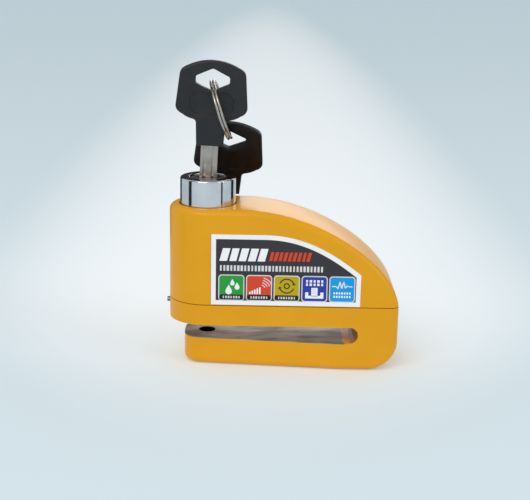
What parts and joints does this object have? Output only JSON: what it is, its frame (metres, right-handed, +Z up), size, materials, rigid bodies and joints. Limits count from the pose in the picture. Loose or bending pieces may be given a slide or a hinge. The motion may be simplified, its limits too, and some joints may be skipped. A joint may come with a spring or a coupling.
{
  "type": "disc brake lock",
  "caption": "Motorcycle alarm disc lock: slotted cast body, domed alarm cover, push-down barrel with lock pin, two keys on a split ring.",
  "frame": {"origin": "on the lock barrel's axis, on the flat underside that the lock stands on", "axes": "+Z up along the barrel, +X towards the closed end of the disc slot, -Y out of the labelled front face"},
  "size_m": [0.0909, 0.0494, 0.1179],
  "materials": {
    "body_paint": "smooth gloss powder coat",
    "black_rubber": "matt",
    "label_print": "printed film",
    "plated_steel": "zinc plated",
    "board_green": "solder mask",
    "cage_plastic": "moulded",
    "cell_steel": "nickel plated can",
    "contact_brass": "sheet",
    "black_plastic": "moulded",
    "lead_red": "insulated wire",
    "reed_glass": "clear tube",
    "spring_steel": "bright wire",
    "barrel_chrome": "satin chrome",
    "magnet": "nickel plated",
    "plug_brass": "nickel washed brass",
    "key_nickel": "nickel silver",
    "key_grip": "fine satin moulding"
  },
  "bodies": {
    "housing": {"lower_body": "body_paint", "upper_cover": "body_paint", "seam_gasket": "black_rubber", "barrel_wiper": "black_rubber", "label_front": "label_print", "stop_pin": "plated_steel", "seam_stud": "plated_steel", "cover_screw_1": "plated_steel", "cover_screw_2": "plated_steel", "cover_screw_3": "plated_steel", "cover_screw_4": "plated_steel", "circuit_board": "board_green", "battery_cage": "cage_plastic", "button_cell_1": "cell_steel", "button_cell_2": "cell_steel", "button_cell_3": "cell_steel", "button_cell_4": "cell_steel", "button_cell_5": "cell_steel", "button_cell_6": "cell_steel", "contact_lower": "contact_brass", "contact_bridge": "contact_brass", "buzzer_cup": "black_plastic", "buzzer_disc": "contact_brass", "buzzer_lead_1": "lead_red", "buzzer_lead_2": "lead_red", "control_chip": "black_plastic", "vibration_sensor": "cell_steel", "boost_coil": "black_plastic", "storage_capacitor": "black_plastic", "reed_switch": "reed_glass", "return_spring": "spring_steel"},
    "barrel": {"barrel_sleeve": "barrel_chrome", "barrel_end_cap": "plated_steel", "lock_pin": "spring_steel", "arming_magnet": "magnet"},
    "slug": {"locking_slug": "plated_steel"},
    "plug": {"key_plug": "plug_brass", "plug_cam": "plated_steel", "cam_screw": "plated_steel", "wafer_1": "plug_brass", "wafer_2": "plug_brass", "wafer_3": "plug_brass", "wafer_4": "plug_brass", "wafer_5": "plug_brass"},
    "key": {"key_blade": "key_nickel", "key_bow": "key_grip"},
    "ring": {"split_ring": "spring_steel"},
    "spare_key": {"spare_key_blade": "key_nickel", "spare_key_bow": "key_grip"}
  },
  "joints": [
    {"name": "barrel_press", "type": "slide", "parent": "housing", "child": "barrel", "axis": [0, 0, -1], "range_m": [0, 0.0103], "stiffness_N_per_m": 400, "springref_m": -0.006, "deforming": ["return_spring"]},
    {"name": "key_turn", "type": "hinge", "parent": "barrel", "child": "plug", "pos_m": [0, 0, 0.0729], "axis": [0, 0, 1], "range_deg": [0, 90]},
    {"name": "slug_slide", "type": "slide", "parent": "barrel", "child": "slug", "axis": [1, 0, 0], "range_m": [0, 0.0014]},
    {"name": "key_withdraw", "type": "slide", "parent": "plug", "child": "key", "axis": [0.0436, 0, 0.999], "range_m": [0, 0.024]},
    {"name": "ring_swing", "type": "hinge", "parent": "key", "child": "ring", "pos_m": [0.00153, 0, 0.10827], "axis": [0, 1, 0], "range_deg": [-40, 0]},
    {"name": "spare_swing", "type": "hinge", "parent": "ring", "child": "spare_key", "pos_m": [0.00791, 0.0101, 0.08861], "axis": [0, 1, 0], "range_deg": [-25, 25]}
  ],
  "couplings": [
    {"joint": "slug_slide", "follows": "key_turn", "m_per_rad": 0.00089126}
  ]
}
